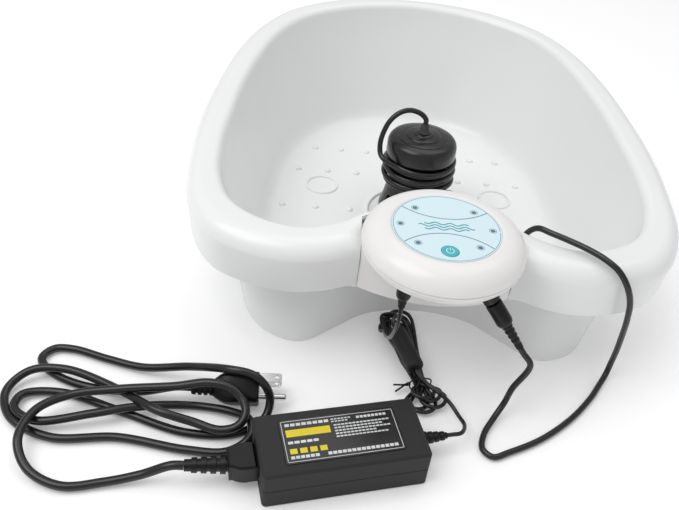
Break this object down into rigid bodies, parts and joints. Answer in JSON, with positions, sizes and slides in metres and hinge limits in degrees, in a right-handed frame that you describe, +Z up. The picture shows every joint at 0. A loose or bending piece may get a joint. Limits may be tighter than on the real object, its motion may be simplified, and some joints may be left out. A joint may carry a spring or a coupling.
{
  "type": "foot spa basin",
  "caption": "Moulded foot bath with a deep rounded rim, a round control head seated in its front rim, a plug-in water array on the floor and an in-line power supply with its leads.",
  "frame": {"origin": "on the ground at the middle of the box round the tub and the control head", "axes": "+Z up out of the tub, +Y from the control head towards the back of the tub, +X to the right as seen from the head's side"},
  "size_m": [0.4842, 0.564, 0.1335],
  "materials": {
    "tub_white": "glossy white",
    "head_white": "satin warm white",
    "label_blue": "printed film, pale blue",
    "button_teal": "satin teal",
    "indicator_clear": "dark teal window",
    "array_black": "glossy black",
    "cord_black": "soft glossy vinyl",
    "case_black": "fine matte texture",
    "label_black": "printed film, black",
    "seal_rubber": "matte rubber",
    "plated_metal": "bright nickel",
    "board_green": "solder mask",
    "coil_tape": "yellow tape",
    "sleeve_blue": "printed sleeve"
  },
  "bodies": {
    "tub": {"basin_tub": "tub_white", "head_top_cover": "head_white", "head_lower_housing": "head_white", "head_seal_ring": "seal_rubber", "head_label": "label_blue", "light_pipe": "indicator_clear", "control_board": "board_green", "tact_switch": "case_black", "head_screw_1": "plated_metal", "head_screw_2": "plated_metal", "head_screw_3": "plated_metal", "dc_socket": "array_black", "array_socket": "array_black", "array_plug": "cord_black", "array_plug_barrel": "plated_metal", "array_cord_run": "cord_black", "adapter_lower_case": "case_black", "adapter_upper_case": "case_black", "adapter_label": "label_black", "adapter_board": "board_green", "adapter_transformer": "coil_tape", "adapter_capacitor": "sleeve_blue", "adapter_output_capacitor": "sleeve_blue", "adapter_inlet": "array_black", "adapter_strain_relief": "cord_black", "wall_plug": "cord_black", "plug_blade_1": "plated_metal", "plug_blade_2": "plated_metal", "plug_earth_pin": "plated_metal", "mains_cord": "cord_black", "dc_cord_hank": "cord_black", "hank_tie": "case_black", "ferrite_sleeve": "case_black", "dc_cord_drop": "cord_black", "dc_cord_tail": "cord_black"},
    "button": {"power_button": "button_teal"},
    "array": {"array_base_plate": "array_black", "array_housing": "array_black", "array_cap": "array_black", "array_gland": "seal_rubber", "electrode_carrier": "array_black", "electrode_rod": "plated_metal", "electrode_coil": "plated_metal", "array_cord_wraps": "cord_black", "array_cord_loop": "cord_black"},
    "dc_plug": {"dc_plug": "cord_black", "dc_plug_barrel": "plated_metal"},
    "connector": {"mains_connector": "cord_black"}
  },
  "joints": [
    {"name": "power_button_press", "type": "slide", "parent": "tub", "child": "button", "axis": [0, 0, -1], "range_m": [0, 0.0005], "stiffness_N_per_m": 400},
    {"name": "array_lift_out", "type": "slide", "parent": "tub", "child": "array", "axis": [0, 0, 1], "range_m": [0, 0.12], "deforming": ["array_cord_run"]},
    {"name": "dc_plug_pull", "type": "slide", "parent": "tub", "child": "dc_plug", "axis": [0, 0, -1], "range_m": [0, 0.012], "deforming": ["dc_cord_drop"]},
    {"name": "mains_connector_pull", "type": "slide", "parent": "tub", "child": "connector", "axis": [-0.9681, -0.2504, 0], "range_m": [0, 0.014], "deforming": ["mains_cord"]}
  ]
}
